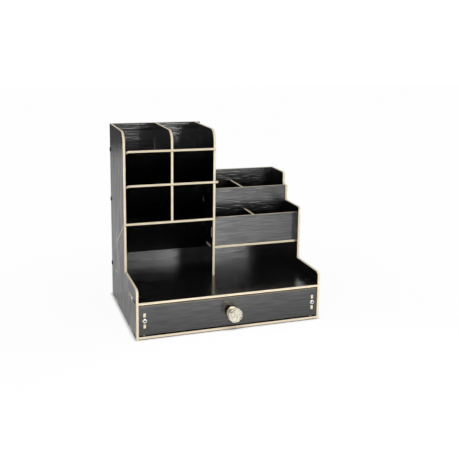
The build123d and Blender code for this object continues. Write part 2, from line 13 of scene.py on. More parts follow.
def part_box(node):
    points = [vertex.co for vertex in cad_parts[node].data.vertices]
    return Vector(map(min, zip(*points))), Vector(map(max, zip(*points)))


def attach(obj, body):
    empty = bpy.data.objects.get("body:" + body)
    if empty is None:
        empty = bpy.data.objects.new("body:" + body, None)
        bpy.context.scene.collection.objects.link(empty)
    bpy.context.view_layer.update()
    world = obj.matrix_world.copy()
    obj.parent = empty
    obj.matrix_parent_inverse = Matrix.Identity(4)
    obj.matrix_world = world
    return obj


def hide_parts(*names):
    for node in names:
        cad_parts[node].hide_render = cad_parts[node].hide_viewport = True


bl_info = {
    "name": "Desk Organizer",
    "version": (1, 0, 0),
    "blender": (4, 5, 0),
    "location": "View3D > Sidebar > Organizer",
    "description": "Dresses a slotted desk organizer with a drawer",
    "category": "Object",
}

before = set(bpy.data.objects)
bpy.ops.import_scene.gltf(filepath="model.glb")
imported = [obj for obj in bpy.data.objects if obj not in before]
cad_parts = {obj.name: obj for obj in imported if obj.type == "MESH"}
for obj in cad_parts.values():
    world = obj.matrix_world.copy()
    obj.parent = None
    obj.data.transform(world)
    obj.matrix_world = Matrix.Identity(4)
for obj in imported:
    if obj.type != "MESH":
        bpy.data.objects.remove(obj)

MM = 0.001
SAME_WAY = 0.9  # least cosine between two directions that count as the same

# Boards: the direction that their broad faces look along, and the way that their grain runs
RAMP_ANGLE = np.radians(34.5)
ACROSS = (1.0, 0.0, 0.0)
DEEP = (0.0, 1.0, 0.0)
UP = (0.0, 0.0, 1.0)
DOWNHILL_FACE = (0.0, float(np.sin(RAMP_ANGLE)), float(np.cos(RAMP_ANGLE)))
BOARDS = {
    "left_side_panel": (ACROSS, "upright"),
    "right_side_panel": (ACROSS, "upright"),
    "middle_panel": (ACROSS, "upright"),
    "centre_divider": (ACROSS, "upright"),
    "front_tier_divider": (ACROSS, "upright"),
    "rear_tier_divider": (ACROSS, "upright"),
    "back_panel": (DEEP, "across"),
    "front_tier_panel": (DEEP, "across"),
    "rear_tier_panel": (DEEP, "across"),
    "drawer_front": (DEEP, "across"),
    "drawer_back": (DEEP, "across"),
    "table_board": (UP, "across"),
    "bottom_board": (UP, "across"),
    "tier_shelf": (UP, "across"),
    "drawer_floor": (UP, "across"),
    "upper_ramp": (DOWNHILL_FACE, "across"),
    "middle_ramp": (DOWNHILL_FACE, "across"),
    "lower_ramp": (DOWNHILL_FACE, "across"),
    "drawer_left_side": (ACROSS, "deep"),
    "drawer_right_side": (ACROSS, "deep"),
}

# Cut faces that are painted black to stand in for shade, in millimetres from the organizer's
# middle:
# the outer ends of the side tabs of the boards named here, of all of them or of those in front of
# the side bolts only, and the walls of the table board's bolt slots
FRONT_TABS_ONLY = {"back_panel": False, "table_board": True, "bottom_board": True}
TAB_ENDS_FROM = 163.0
SLOT_FROM = 145.0
SLOT_HALF_WIDTH = 6.0

# Bolts and nuts, in millimetres
BOARD = (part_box("drawer_front")[1].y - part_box("drawer_front")[0].y) / MM
HEAD_RADIUS = 4.0
HEAD_HEIGHT = 2.2
HEAD_RIM = 0.7  # height from which the head's dome rises
DOME_FROM = 0.06  # share of the quarter ellipse that is left out at its foot
SOCKET_WIDTH = 3.0
SOCKET_DEPTH = 1.3
SOCKET_BEVEL = 0.1
SOCKET_FLARE = 1.06  # width of the socket's mouth, as a share of its width
SOCKET_LAND = 0.72  # inner radius of the dome, as a share of the socket's width
SHANK_RADIUS = 2.0
SHANK_NECK = 0.4
THREAD_ROOT = 1.62
THREAD_ROWS = 6  # rows in one turn of the thread
THREAD_START = 1.5  # turns over which the thread begins
NUT_WIDTH = 7.0
NUT_THICKNESS = 2.6
NUT_SETBACK = 7.0
NUT_BORE = 2.05
NUT_THREAD = 0.3
NUT_MOUTH = 0.25  # depth of the nut's countersinks
NUT_CONE = 0.56  # radius of the cone that cuts the corners back, as a share of the nut's width
NUT_EDGE = 0.12
NUT_SLOPE = 0.35
BEVEL = 0.15
TOUCH = 0.05  # slack with which faces are picked by their middles
HEXAGON_REACH = 0.6  # a little over a hexagon's corner radius, as a share of its width

# Black caps on the ends of the back panel's side tabs, painted shade for their recesses, in
# millimetres
TAB_END_HEIGHTS = {-1: (63.5, 190.0, 284.5), 1: (63.5, 190.0)}  # on the left and on the right
TAB_END_RECESS = 1.2
TAB_END_PROUD = 0.9
TAB_END_HEIGHT = 7.9
TAB_END_DEPTH = 3.9
TAB_END_RIM = 0.4
TAB_END_FALL = 0.12  # how far the rounded rim draws in, as a share of the half width

# Knob, in millimetres
STEM_FLANGE_RADIUS = 11.0
STEM_FLANGE = 5.0
STEM_NECK_RADIUS = 8.6
STEM_CUP_RADIUS = 9.4
STEM_CUP = 2.0
FLANGE_ROUND = 1.4
FLANGE_STEP = 0.5  # rounding of the flange's foot, and the step from its top to the waist
FLANGE_SEAT = (1.6, 0.7)  # how far inside the flange's radius its two seat rings lie
CUP_STEP = 0.3
CUP_BEVEL = 0.35
CUP_EDGE = 0.1
CUP_LIP = 1.2
CRYSTAL_RADIUS = 13.0
CRYSTAL_GIRDLE_LOW = 8.5
CRYSTAL_SIDES = 8
CRYSTAL_CORNER_SHARE = 0.955
CRYSTAL_CORNER_LEAN = np.radians(3)
LEAF_INNER = 0.04
LEAF_OUTER = 0.12

# Laminate: for each part of the grain, its scales along and across it, its detail and the span of
# the noise that is used; then how the parts act on the surface
GRAIN_TURNS = {"across": (0, 0, 0), "upright": (0, np.pi / 2, 0), "deep": (0, 0, np.pi / 2)}
GRAIN_PARTS = {
    "Bands": ((6, 90, 90), 2.0, (0.3, 0.7)),
    "Streaks": ((28, 490, 490), 1.2, (0.32, 0.68)),
    "Pores": ((60, 1500, 1500), 2.0, (0.35, 0.65)),
}
RING_SCALES = (4, 17, 17)
RING_TURNS = 90.0  # how fast the growth rings follow each other
PALE_FROM = 0.55  # share of a streak's height from which its colour turns paler
STREAK_ROUGHNESS = 0.1
RING_ROUGHNESS = 0.04
FULL_COAT = 1.15  # weight of the glossy coat before streaks and bands thin it
BAND_SHARES = {"across": 0.2, "upright": 1.0, "deep": 0.2}  # how much the bands thin the coat
RELIEF_SHARES = {"Pores": 0.06, "Rings": 0.15, "Bands": 0.15}  # heights, as shares of a streak's

# Cut edges: the strength of their gloss, and how the fibre turns them browner
EDGE_GLOSS = {"raw_edge": 0.5, "painted_shade_edge": 0.1, "painted_shade_cap": 0.3}
BROWNER = (0.82, 0.76, 0.68)  # darkest colour, as shares of the palest
MOTTLE_SHARE = 0.5
FLECK_SHARE = 0.3
FLECK_RELIEF = 0.06 * MM

# Metals and glass: each metal's least and greatest roughness and the scale of its marks
METALS = {
    "bright_steel": (0.18, 0.34, 900.0),
    # blackened steel for the nuts and shanks, and painted shade in the bolt heads' sockets
    "blackened_steel_and_socket_shade": (0.35, 0.55, 900.0),
    "pale_brass": (0.12, 0.26, 700.0),
    # dark metal that paints the flange's reflection of the black drawer front: painted reflection
    "flange_painted_reflection": (0.14, 0.24, 700.0),
    "champagne_leaf": (0.25, 0.4, 500.0),
}
SMUDGED_METAL = 0.8  # brightness under a smudge, as a share
SCRATCH_RELIEF = 0.01 * MM
LEAF_REFLECTION_SPECKS = (0.12, 0.08, 0.04)  # colour of the dark specks on the leaf, painted dark reflections
GLASS_MARKS = 380.0  # scale of the marks in the crystal
SMUDGED_GLASS = 0.96
REFLECTION_SPECK_SHADE = (0.14, 0.11, 0.08)  # the crystal's dark specks, painted dark reflections, as shares of its tint

# Stage, in metres: each lamp's place and target and the side of its square
KEY_LAMP = ((0.72, -2.3, 0.52), (0, 0, 0.12), 0.6)
TOP_LAMP = ((-0.5, -0.9, 2.0), (0, 0, 0.1), 1.2)
FLOOR_LAMP = ((0.0, -0.73, 0.9), (0.0, -0.73, 0), 0.5)
FLOOR_GREY = 0.93
FLOOR_ROUGHNESS = 0.9
FLOOR_DROP = 0.1 * MM
FLOOR_FADES = (1.1, 2.0)  # distances between which the floor fades from reflections
FADED = 0.9  # share of its light that the floor has lost beyond them
FAR_WHITE = 0.04  # share of the floor's whiteness that it gains over the wider shade
CAMERA_PLACE = (-0.3772, -1.1838, 0.4884)
CAMERA_TURN, CAMERA_DIP, CAMERA_ROLL = -18.918, 11.2, 0.837  # in degrees
PHOTO_PIXELS = 459
SENSOR = 36.0  # in millimetres


def seat(x, y, z, right, outward):
    """Place of a fastener: its origin in millimetres and its right, up and outward directions."""
    up = np.cross(outward, right)
    return np.array((x, y, z)) * MM, np.array((right, up, outward), float)


def case_seats():
    """Seats of the bolts through the two side panels, level with the middle of the table board."""
    low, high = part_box("case_bolts")
    depth, height = (low.y + high.y) / 2 / MM, (low.z + high.z) / 2 / MM
    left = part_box("left_side_panel")[0].x / MM
    return (
        seat(left, depth, height, DEEP, (-1, 0, 0)),
        seat(-left, depth, height, DEEP, (1, 0, 0)),
    )


def drawer_seats():
    """Seats of the bolts through the drawer's front, in line with the middle of its sides."""
    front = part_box("drawer_front")[0].y / MM
    low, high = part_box("drawer_bolts")
    height = (low.z + high.z) / 2 / MM
    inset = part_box("drawer_left_side")[0].x / MM + BOARD / 2
    return tuple(seat(x, front, height, ACROSS, (0, -1, 0)) for x in (inset, -inset))


def knob_seat(depth):
    """Seat on the knob's axis, at a depth behind the drawer's front face."""
    low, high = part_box("knob_stem")
    middle = (low + high) / 2 / MM
    return middle.x, high.y / MM + depth, middle.z


# Meshes


def add_piece(name, points, faces, material, body, slot, smooth=True):
    """Make a mesh object from points in metres and faces, and let it ride on a body."""
    mesh = bpy.data.meshes.new(name)
    mesh.from_pydata(points.tolist(), [], faces)
    mesh.materials.append(material)
    mesh.polygons.foreach_set("use_smooth", np.full(len(mesh.polygons), smooth))
    mesh.validate()
    mesh.update()
    piece = bpy.data.objects.new(name, mesh)
    bpy.context.scene.collection.objects.link(piece)
    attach(piece, body)
    return piece


def middles(mesh):
    """Middles of a mesh's faces."""
    flat = np.zeros(len(mesh.polygons) * 3)
    mesh.polygons.foreach_get("center", flat)
    return flat.reshape(-1, 3)


def give_part(piece, material, seats, chosen):
    """Second material on the faces that a test picks by their middles, in millimetres on a seat."""
    copies = middles(piece.data).reshape(len(seats), -1, 3)
    places = [(copy - origin) / MM @ axes.T for copy, (origin, axes) in zip(copies, seats)]
    piece.data.materials.append(material)
    piece.data.polygons.foreach_set("material_index", chosen(np.concatenate(places)).astype(int))
    piece.data.update()


def shank_or_shaded_socket(place):
    """Faces of a bolt below its head, and those in the socket of the head, whose black is painted
    shade.
    """
    socket = np.hypot(place[:, 0], place[:, 1]) < SOCKET_WIDTH * HEXAGON_REACH
    return (place[:, 2] < -TOUCH) | socket


def flange_side(place):
    """Faces of the stem's flange, which get the painted dark reflection."""
    return place[:, 2] < STEM_FLANGE - TOUCH


def full_turn(columns):
    """Row of even turns once round the Z axis."""
    return np.linspace(0, 2 * np.pi, columns, endpoint=False)[None, :]


def section(rows, turns):
    """Grids of radius, height and turn from pairs of radius and height.

    Either of a pair is a number, a column or a whole grid, and is spread over all the turns.
    """
    pairs = [np.broadcast_arrays(radius, height, turns)[:2] for radius, height in rows]
    radius, height = (np.concatenate(part) for part in zip(*pairs))
    return radius, height, turns


def ring_points(radius, height, turns):
    """Points of a shape round the Z axis.

    The point on row i and column j is (r cos t, r sin t, z), with r and z from the grids and
    t the column's turn.
    """
    rings = np.stack((radius * np.cos(turns), radius * np.sin(turns), height), axis=-1)
    return rings.reshape(-1, 3)


def ring_faces(rows, columns, steps):
    """Faces between rows, over a number of steps. After the last row comes the first."""
    row = np.arange(steps)[:, None]
    here, above = row * columns, (row + 1) % rows * columns
    column = np.arange(columns)[None, :]
    following = (column + 1) % columns
    faces = np.stack((here + column, here + following, above + following, above + column), axis=-1)
    return faces.reshape(-1, 4).tolist()


def ring_body(radius, height, turns):
    """Closed ring round the Z axis, whose section is a closed loop of rows."""
    rows, columns = radius.shape
    return ring_points(radius, height, turns), ring_faces(rows, columns, rows)


def round_body(radius, height, turns):
    """Closed body round the Z axis, whose first and last rows are closed by a point on the axis."""
    rows, columns = radius.shape
    poles = np.array(((0, 0, height[0].mean()), (0, 0, height[-1].mean())))
    points = np.concatenate((ring_points(radius, height, turns), poles))
    column = np.arange(columns)
    following = (column + 1) % columns
    last = (rows - 1) * columns
    start = np.stack((np.full(columns, rows * columns), following, column), axis=-1)
    end = np.stack((np.full(columns, rows * columns + 1), last + column, last + following), axis=-1)
    return points, ring_faces(rows, columns, rows - 1) + start.tolist() + end.tolist()


def on_seats(points, faces, seats):
    """One copy of a shape in millimetres on each seat, as points in metres."""
    placed = np.concatenate([origin + points * MM @ axes for origin, axes in seats])
    copies = [
        [tuple(index + copy * len(points) for index in face) for face in faces]
        for copy in range(len(seats))
    ]
    return placed, [face for group in copies for face in group]


def polygon_radius(turns, sides, across_flats):
    """Radius of a regular polygon at a turn: half its width over the cosine to the nearest flat."""
    step = 2 * np.pi / sides
    return across_flats / 2 / np.cos((turns + step / 2) % step - step / 2)


def thread_wave(height, turns, pitch):
    """Triangle wave of height over pitch less turn over a full turn: 0 at a root, 1 at a crest."""
    phase = (height / pitch - turns / (2 * np.pi)) % 1
    return 1 - np.abs(2 * phase - 1)


def tab_end_surface():
    """Oblong cap along Z with cut corners and a rounded rim.

    Each row has a square's radius at eight turns, less a share that grows along a quarter circle
    near the top. The rows are stretched to the cap's depth and height.
    """
    turns = (np.arange(8) * 2 + 1)[None, :] * np.pi / 8
    square = polygon_radius(turns, 4, 1.0)
    quarter = np.linspace(0, np.pi / 2, 5)[:, None]
    rim = TAB_END_PROUD - TAB_END_RIM + TAB_END_RIM * np.sin(quarter)
    rows = ((square, -TAB_END_RECESS), (square * (1 - TAB_END_FALL * (1 - np.cos(quarter))), rim))
    points, faces = round_body(*section(rows, turns))
    return points * (TAB_END_DEPTH, TAB_END_HEIGHT, 1.0), faces


def bolt_surface(length, pitch):
    """Button-head bolt along Z with its seat at the origin.

    The shank's radius swings between root and crest on the thread's wave, which fades at both
    ends. The head is a quarter ellipse that ends in the hexagon of its socket.
    """
    turns = full_turn(36)
    shank = np.linspace(-length, -SHANK_NECK, int(length / pitch * THREAD_ROWS))[:, None]
    start = np.clip((shank + length) / (THREAD_START * pitch), 0, 1)
    fade = start * np.clip(-shank / pitch, 0, 1)
    thread = (SHANK_RADIUS - THREAD_ROOT) * thread_wave(shank, turns, pitch) * fade
    hexagon = polygon_radius(turns, 6, SOCKET_WIDTH)
    climb = np.linspace(DOME_FROM, 1, 12)[:, None] * np.pi / 2
    inner = SOCKET_WIDTH * SOCKET_LAND
    rows = (
        (THREAD_ROOT + thread, shank),
        (SHANK_RADIUS, 0),
        (HEAD_RADIUS - BEVEL, 0),
        (HEAD_RADIUS, BEVEL),
        (
            inner + (HEAD_RADIUS - inner) * np.cos(climb),
            HEAD_RIM + (HEAD_HEIGHT - HEAD_RIM) * np.sin(climb),
        ),
        (hexagon * SOCKET_FLARE, HEAD_HEIGHT),
        (hexagon, HEAD_HEIGHT - SOCKET_BEVEL),
        (hexagon, HEAD_HEIGHT - SOCKET_DEPTH),
    )
    return round_body(*section(rows, turns))


def nut_surface(pitch):
    """Square nut along Z.

    Outside, the radius is that of a square, cut back by a cone at the four corners. Inside, it is
    the bore on the thread's wave.
    """
    turns = full_turn(48)
    top = -BOARD - NUT_SETBACK
    low = top - NUT_THICKNESS
    square = polygon_radius(turns, 4, NUT_WIDTH)
    cone = np.minimum(square, NUT_WIDTH * NUT_CONE)
    drop = NUT_EDGE + (square - cone) * NUT_SLOPE
    bore = np.linspace(top - NUT_MOUTH, low + NUT_MOUTH, 18)[:, None]
    rows = (
        (NUT_BORE + NUT_THREAD, low),
        (cone - BEVEL, low),
        (square, low + drop),
        (square, top - drop),
        (cone - BEVEL, top),
        (NUT_BORE + NUT_THREAD, top),
        (NUT_BORE + NUT_THREAD * (1 - thread_wave(bore, turns, pitch)), bore),
    )
    return ring_body(*section(rows, turns))


def stem_surface(length):
    """Turned stem along Z.

    Its radius follows the flange's rounded foot and top on quarter circles, the waist, which
    draws in by the sine of its sweep, and the bevelled cup.
    """
    quarter = np.linspace(0, np.pi / 2, 7)[:, None]
    sweep = np.linspace(0, np.pi, 13)[:, None]
    low, high = STEM_FLANGE, length - STEM_CUP
    end = np.where(
        sweep < np.pi / 2,
        STEM_FLANGE_RADIUS - FLANGE_ROUND - FLANGE_STEP,
        STEM_CUP_RADIUS - CUP_STEP,
    )
    foot = FLANGE_STEP - FLANGE_STEP * np.sin(quarter)
    top = FLANGE_ROUND - FLANGE_ROUND * np.cos(quarter)
    rows = (
        *((STEM_FLANGE_RADIUS - inside, 0) for inside in FLANGE_SEAT),
        (STEM_FLANGE_RADIUS - foot, FLANGE_STEP - FLANGE_STEP * np.cos(quarter)),
        (STEM_FLANGE_RADIUS - top, STEM_FLANGE - FLANGE_ROUND + FLANGE_ROUND * np.sin(quarter)),
        (
            STEM_NECK_RADIUS + (end - STEM_NECK_RADIUS) * (1 - np.sin(sweep)),
            (low + high) / 2 - (high - low) / 2 * np.cos(sweep),
        ),
        (STEM_CUP_RADIUS - CUP_EDGE, high + CUP_EDGE),
        (STEM_CUP_RADIUS, high + CUP_BEVEL),
        (STEM_CUP_RADIUS, length - CUP_BEVEL),
        (STEM_CUP_RADIUS - CUP_EDGE, length - CUP_EDGE),
        (STEM_CUP_RADIUS - CUP_BEVEL, length),
        (STEM_CUP_RADIUS - CUP_LIP, length),
    )
    return round_body(*section(rows, full_turn(72)))


def pavilion_radius(turns, height):
    """Radius of the crystal behind its girdle.

    It is the least distance, over the cosine to the facet's own turn, of three rows of facets:
    the eight long ones, the eight between them and the upright ones of the girdle.
    """
    step = 2 * np.pi / CRYSTAL_SIDES
    from_long = (turns + step / 2) % step - step / 2
    from_between = turns % step - step / 2
    flat = CRYSTAL_RADIUS * np.cos(step / 2)
    lean = np.arctan2(flat - STEM_CUP_RADIUS, CRYSTAL_GIRDLE_LOW)
    below = height - CRYSTAL_GIRDLE_LOW
    corner = CRYSTAL_RADIUS * CRYSTAL_CORNER_SHARE
    long_facets = (flat + below * np.tan(lean)) / np.cos(from_long)
    between = (corner + below * np.tan(lean - CRYSTAL_CORNER_LEAN)) / np.cos(from_between)
    return np.minimum(np.minimum(long_facets, between), flat / np.cos(from_long))


def leaf_surface():
    """Thin metal leaf under and round the back of the crystal.

    Its section goes out along the bottom, up at the crystal's own radius plus the outer offset, and
    back down and in at the inner offset, which closes it on the axis.
    """
    turns = full_turn(192)
    up = np.linspace(0, CRYSTAL_GIRDLE_LOW, 18)[:, None]
    radius = pavilion_radius(turns, up)
    rows = (
        (radius[:1] + LEAF_OUTER, -LEAF_OUTER),
        (radius + LEAF_OUTER, up),
        (radius[::-1] + LEAF_INNER, up[::-1]),
        (radius[:1], -LEAF_INNER),
    )
    return round_body(*section(rows, turns))


# Node groups and materials


def new_group(name, inputs, outputs):
    """Shader node group with named sockets, given as (name, kind, default)."""
    group = bpy.data.node_groups.new(name, "ShaderNodeTree")
    for label, kind, default in inputs:
        socket = group.interface.new_socket(label, in_out="INPUT", socket_type=kind)
        if default is not None:
            socket.default_value = default
    for label, kind in outputs:
        group.interface.new_socket(label, in_out="OUTPUT", socket_type=kind)
    start = group.nodes.new("NodeGroupInput")
    end = group.nodes.new("NodeGroupOutput")
    return group, start.outputs, end.inputs


def maths(tree, operation, first, second=None, third=None):
    """Math node on sockets or plain numbers; returns its result."""
    node = tree.nodes.new("ShaderNodeMath")
    node.operation = operation
    for socket, value in zip(node.inputs, (first, second, third)):
        if value is None:
            continue
        if isinstance(value, bpy.types.NodeSocket):
            tree.links.new(value, socket)
        else:
            socket.default_value = value
    return node.outputs[0]


def noise(tree, vector, scale, detail, roughness=0.5):
    """Noise value on a vector."""
    node = tree.nodes.new("ShaderNodeTexNoise")
    node.inputs["Scale"].default_value = scale
    node.inputs["Detail"].default_value = detail
    node.inputs["Roughness"].default_value = roughness
    tree.links.new(vector, node.inputs["Vector"])
    return node.outputs["Fac"]


def remap(tree, value, low, high, to_low=0.0, to_high=1.0):
    """Map Range from one span to another, held at its ends."""
    node = tree.nodes.new("ShaderNodeMapRange")
    spans = {"From Min": low, "From Max": high, "To Min": to_low, "To Max": to_high}
    for label, number in spans.items():
        node.inputs[label].default_value = number
    tree.links.new(value, node.inputs["Value"])
    return node.outputs["Result"]


def stretched(tree, vector, scales):
    """Multiply a vector by three scales."""
    node = tree.nodes.new("ShaderNodeVectorMath")
    node.operation = "MULTIPLY"
    tree.links.new(vector, node.inputs[0])
    node.inputs[1].default_value = scales
    return node.outputs[0]


def grain_group():
    """Wood grain that runs along X: broad bands, thin streaks, fine pores and growth rings."""
    tree, given, made = new_group(
        "wood_grain",
        (("Vector", "NodeSocketVector", None),),
        (
            ("Bands", "NodeSocketFloat"),
            ("Streaks", "NodeSocketFloat"),
            ("Pores", "NodeSocketFloat"),
            ("Rings", "NodeSocketFloat"),
        ),
    )
    for label, (scales, detail, span) in GRAIN_PARTS.items():
        part = noise(tree, stretched(tree, given["Vector"], scales), 1.0, detail)
        tree.links.new(remap(tree, part, *span), made[label])
    drift = noise(tree, stretched(tree, given["Vector"], RING_SCALES), 1.0, 1.0)
    rings = maths(tree, "SINE", maths(tree, "MULTIPLY", drift, RING_TURNS))
    tree.links.new(remap(tree, rings, -1.0, 1.0), made["Rings"])
    return tree


def fibre_group():
    """Pressed wood fibre of a cut edge: a pale mottle with fine darker flecks."""
    tree, given, made = new_group(
        "pressed_fibre",
        (("Vector", "NodeSocketVector", None),),
        (("Mottle", "NodeSocketFloat"), ("Flecks", "NodeSocketFloat")),
    )
    mottle = noise(tree, given["Vector"], 420.0, 4.0, 0.65)
    flecks = noise(tree, given["Vector"], 2600.0, 2.0, 0.6)
    tree.links.new(remap(tree, mottle, 0.3, 0.7), made["Mottle"])
    tree.links.new(remap(tree, flecks, 0.35, 0.7), made["Flecks"])
    return tree


def wear_and_reflection_group():
    """Fine scratches and finger marks of a handled surface, and specks for painted dark
    reflections, at a scale that is given.
    """
    tree, given, made = new_group(
        "handling_marks_and_reflection_specks",
        (("Vector", "NodeSocketVector", None), ("Scale", "NodeSocketFloat", 900.0)),
        (
            ("Scratches", "NodeSocketFloat"),
            ("Smudges", "NodeSocketFloat"),
            ("Reflection specks", "NodeSocketFloat"),
        ),
    )
    scaled = tree.nodes.new("ShaderNodeVectorMath")
    scaled.operation = "SCALE"
    tree.links.new(given["Vector"], scaled.inputs[0])
    tree.links.new(given["Scale"], scaled.inputs["Scale"])
    scratches = noise(tree, stretched(tree, scaled.outputs[0], (1.0, 1.0, 9.0)), 1.0, 3.0, 0.6)
    smudges = noise(tree, scaled.outputs[0], 0.25, 3.0, 0.55)
    tree.links.new(remap(tree, scratches, 0.3, 0.7), made["Scratches"])
    tree.links.new(remap(tree, smudges, 0.3, 0.7), made["Smudges"])
    # Specks: spots of painted dark reflection
    specks = noise(tree, scaled.outputs[0], 1.0, 2.0, 0.6)
    tree.links.new(remap(tree, specks, 0.56, 0.61), made["Reflection specks"])
    return tree


def node_group(name, build):
    """The named group, built on first use."""
    return bpy.data.node_groups.get(name) or build()


def new_material(name, group_name, build):
    """Material with a shader, object coordinates and one of the shared groups reading them."""
    material = bpy.data.materials.new(name)
    material.use_nodes = True
    tree = material.node_tree
    shader = tree.nodes["Principled BSDF"]
    place = tree.nodes.new("ShaderNodeTexCoord").outputs["Object"]
    group = tree.nodes.new("ShaderNodeGroup")
    group.node_tree = node_group(group_name, build)
    return material, tree, shader, place, group


def mix_colour(tree, share, first, second):
    """Colour between a plain or linked colour and a plain one, by a share."""
    node = tree.nodes.new("ShaderNodeMix")
    node.data_type = "RGBA"
    colours = [socket for socket in node.inputs if socket.type == "RGBA"]
    if isinstance(first, bpy.types.NodeSocket):
        tree.links.new(first, colours[0])
    else:
        colours[0].default_value = (*first, 1)
    colours[1].default_value = (*second, 1)
    tree.links.new(share, node.inputs["Factor"])
    return next(socket for socket in node.outputs if socket.type == "RGBA")


def bump(tree, shader, height, distance, strength=1.0):
    """Bump node from a height to the shader's normal."""
    node = tree.nodes.new("ShaderNodeBump")
    node.inputs["Strength"].default_value = strength
    node.inputs["Distance"].default_value = distance
    tree.links.new(height, node.inputs["Height"])
    tree.links.new(node.outputs["Normal"], shader.inputs["Normal"])


def laminate(direction, look):
    """Black laminate whose grain runs in the named direction.

    The streaks are paler, rougher and raised, and the glossy coat thins out on them.
    """
    material, tree, shader, place, grain = new_material(
        f"laminate_{direction}", "wood_grain", grain_group
    )
    turned = tree.nodes.new("ShaderNodeMapping")
    turned.inputs["Rotation"].default_value = GRAIN_TURNS[direction]
    tree.links.new(place, turned.inputs["Vector"])
    tree.links.new(turned.outputs["Vector"], grain.inputs["Vector"])
    bands, streaks, rings = (grain.outputs[label] for label in ("Bands", "Streaks", "Rings"))
    dark, pale = tuple(look.laminate_colour), tuple(look.line_colour)
    lines = remap(tree, streaks, PALE_FROM, 1.0)
    tree.links.new(mix_colour(tree, lines, dark, pale), shader.inputs["Base Color"])
    least = look.laminate_roughness - (STREAK_ROUGHNESS + RING_ROUGHNESS) / 2
    roughness = maths(tree, "MULTIPLY_ADD", streaks, STREAK_ROUGHNESS, least)
    roughness = maths(tree, "MULTIPLY_ADD", rings, RING_ROUGHNESS, roughness)
    tree.links.new(roughness, shader.inputs["Roughness"])
    coat = maths(tree, "MULTIPLY_ADD", bands, -BAND_SHARES[direction], FULL_COAT)
    tree.links.new(maths(tree, "SUBTRACT", coat, streaks), shader.inputs["Coat Weight"])
    shader.inputs["Coat Roughness"].default_value = 0.22
    shader.inputs["Coat IOR"].default_value = 1.5
    relief = streaks
    for label, share in RELIEF_SHARES.items():
        relief = maths(tree, "MULTIPLY_ADD", grain.outputs[label], share, relief)
    bump(tree, shader, relief, look.grain_relief * MM)
    shader.inputs["IOR"].default_value = look.laminate_ior
    return material


def sawn_edge(name, pale):
    """Sawn fibreboard edge in its palest colour, raw or black as painted shade."""
    material, tree, shader, place, fibre = new_material(name, "pressed_fibre", fibre_group)
    tree.links.new(place, fibre.inputs["Vector"])
    shader.inputs["Specular IOR Level"].default_value = EDGE_GLOSS[name]
    brown = tuple(value * share for value, share in zip(pale, BROWNER))
    mottle = maths(tree, "MULTIPLY", fibre.outputs["Mottle"], MOTTLE_SHARE)
    share = maths(tree, "MULTIPLY_ADD", fibre.outputs["Flecks"], FLECK_SHARE, mottle)
    tree.links.new(mix_colour(tree, share, pale, brown), shader.inputs["Base Color"])
    roughness = remap(tree, fibre.outputs["Mottle"], 0, 1, 0.62, 0.85)
    tree.links.new(roughness, shader.inputs["Roughness"])
    bump(tree, shader, fibre.outputs["Flecks"], FLECK_RELIEF)
    return material


def metal(name, colour, specks=None):
    """Handled metal in a colour, with specks of another colour as painted dark reflections where
    one is given.
    """
    low, high, scale = METALS[name]
    material, tree, shader, place, marks = new_material(name, "handling_marks_and_reflection_specks", wear_and_reflection_group)
    tree.links.new(place, marks.inputs["Vector"])
    marks.inputs["Scale"].default_value = scale
    dull = tuple(SMUDGED_METAL * value for value in colour)
    finish = mix_colour(tree, marks.outputs["Smudges"], colour, dull)
    if specks:
        finish = mix_colour(tree, marks.outputs["Reflection specks"], finish, specks)
    tree.links.new(finish, shader.inputs["Base Color"])
    roughness = remap(tree, marks.outputs["Scratches"], 0, 1, low, high)
    tree.links.new(roughness, shader.inputs["Roughness"])
    bump(tree, shader, marks.outputs["Scratches"], SCRATCH_RELIEF, 0.6)
    shader.inputs["Metallic"].default_value = 1.0
    return material


def crystal_glass(colour):
    """Cut glass with a warm tint, small dark specks as painted reflections and slightly uneven
    polish.
    """
    material, tree, shader, place, marks = new_material("cut_glass", "handling_marks_and_reflection_specks", wear_and_reflection_group)
    tree.links.new(place, marks.inputs["Vector"])
    marks.inputs["Scale"].default_value = GLASS_MARKS
    thin = tuple(SMUDGED_GLASS * value for value in colour)
    tint = mix_colour(tree, marks.outputs["Smudges"], colour, thin)
    specked_reflection = tuple(share * value for share, value in zip(REFLECTION_SPECK_SHADE, colour))
    # Dark specks in the tint: painted reflections
    tint = mix_colour(tree, marks.outputs["Reflection specks"], tint, specked_reflection)
    tree.links.new(tint, shader.inputs["Base Color"])
    roughness = remap(tree, marks.outputs["Smudges"], 0, 1, 0.01, 0.05)
    tree.links.new(roughness, shader.inputs["Roughness"])
    shader.inputs["Transmission Weight"].default_value = 0.45
    shader.inputs["IOR"].default_value = 1.52
    return material


# Settings


class BoardLook(bpy.types.PropertyGroup):
    """Colours and finish of the boards."""

    laminate_colour: bpy.props.FloatVectorProperty(
        name="Laminate",
        description="Darkest colour of the black laminate",
        size=3,
        subtype="COLOR",
        min=0,
        max=1,
        default=(0.003, 0.003, 0.0031),
    )
    line_colour: bpy.props.FloatVectorProperty(
        name="Grain lines",
        description="Palest colour of the fine lines in the laminate",
        size=3,
        subtype="COLOR",
        min=0,
        max=1,
        default=(0.009, 0.009, 0.009),
    )
    laminate_roughness: bpy.props.FloatProperty(
        name="Laminate roughness",
        description="Middle roughness of the laminate",
        min=0,
        max=1,
        default=0.17,
    )
    laminate_ior: bpy.props.FloatProperty(
        name="Laminate gloss index",
        description="Index of refraction of the laminate's surface",
        min=1,
        max=3,
        default=1.7,
    )
    grain_relief: bpy.props.FloatProperty(
        name="Grain relief",
        description="Height of the embossed grain in millimetres",
        min=0,
        max=0.5,
        default=0.13,
    )
    edge_colour: bpy.props.FloatVectorProperty(
        name="Raw edge",
        description="Palest colour of the sawn fibreboard",
        size=3,
        subtype="COLOR",
        min=0,
        max=1,
        default=(0.8, 0.715, 0.545),
    )
    # Painted shade: the black that stands in for shade on tab ends, in bolt slots and on the tab
    # caps
    painted_shade_colour: bpy.props.FloatVectorProperty(
        name="Stained edge",
        description="Palest colour of the cut faces that are stained black",
        size=3,
        subtype="COLOR",
        min=0,
        max=1,
        default=(0.008, 0.0075, 0.007),
    )


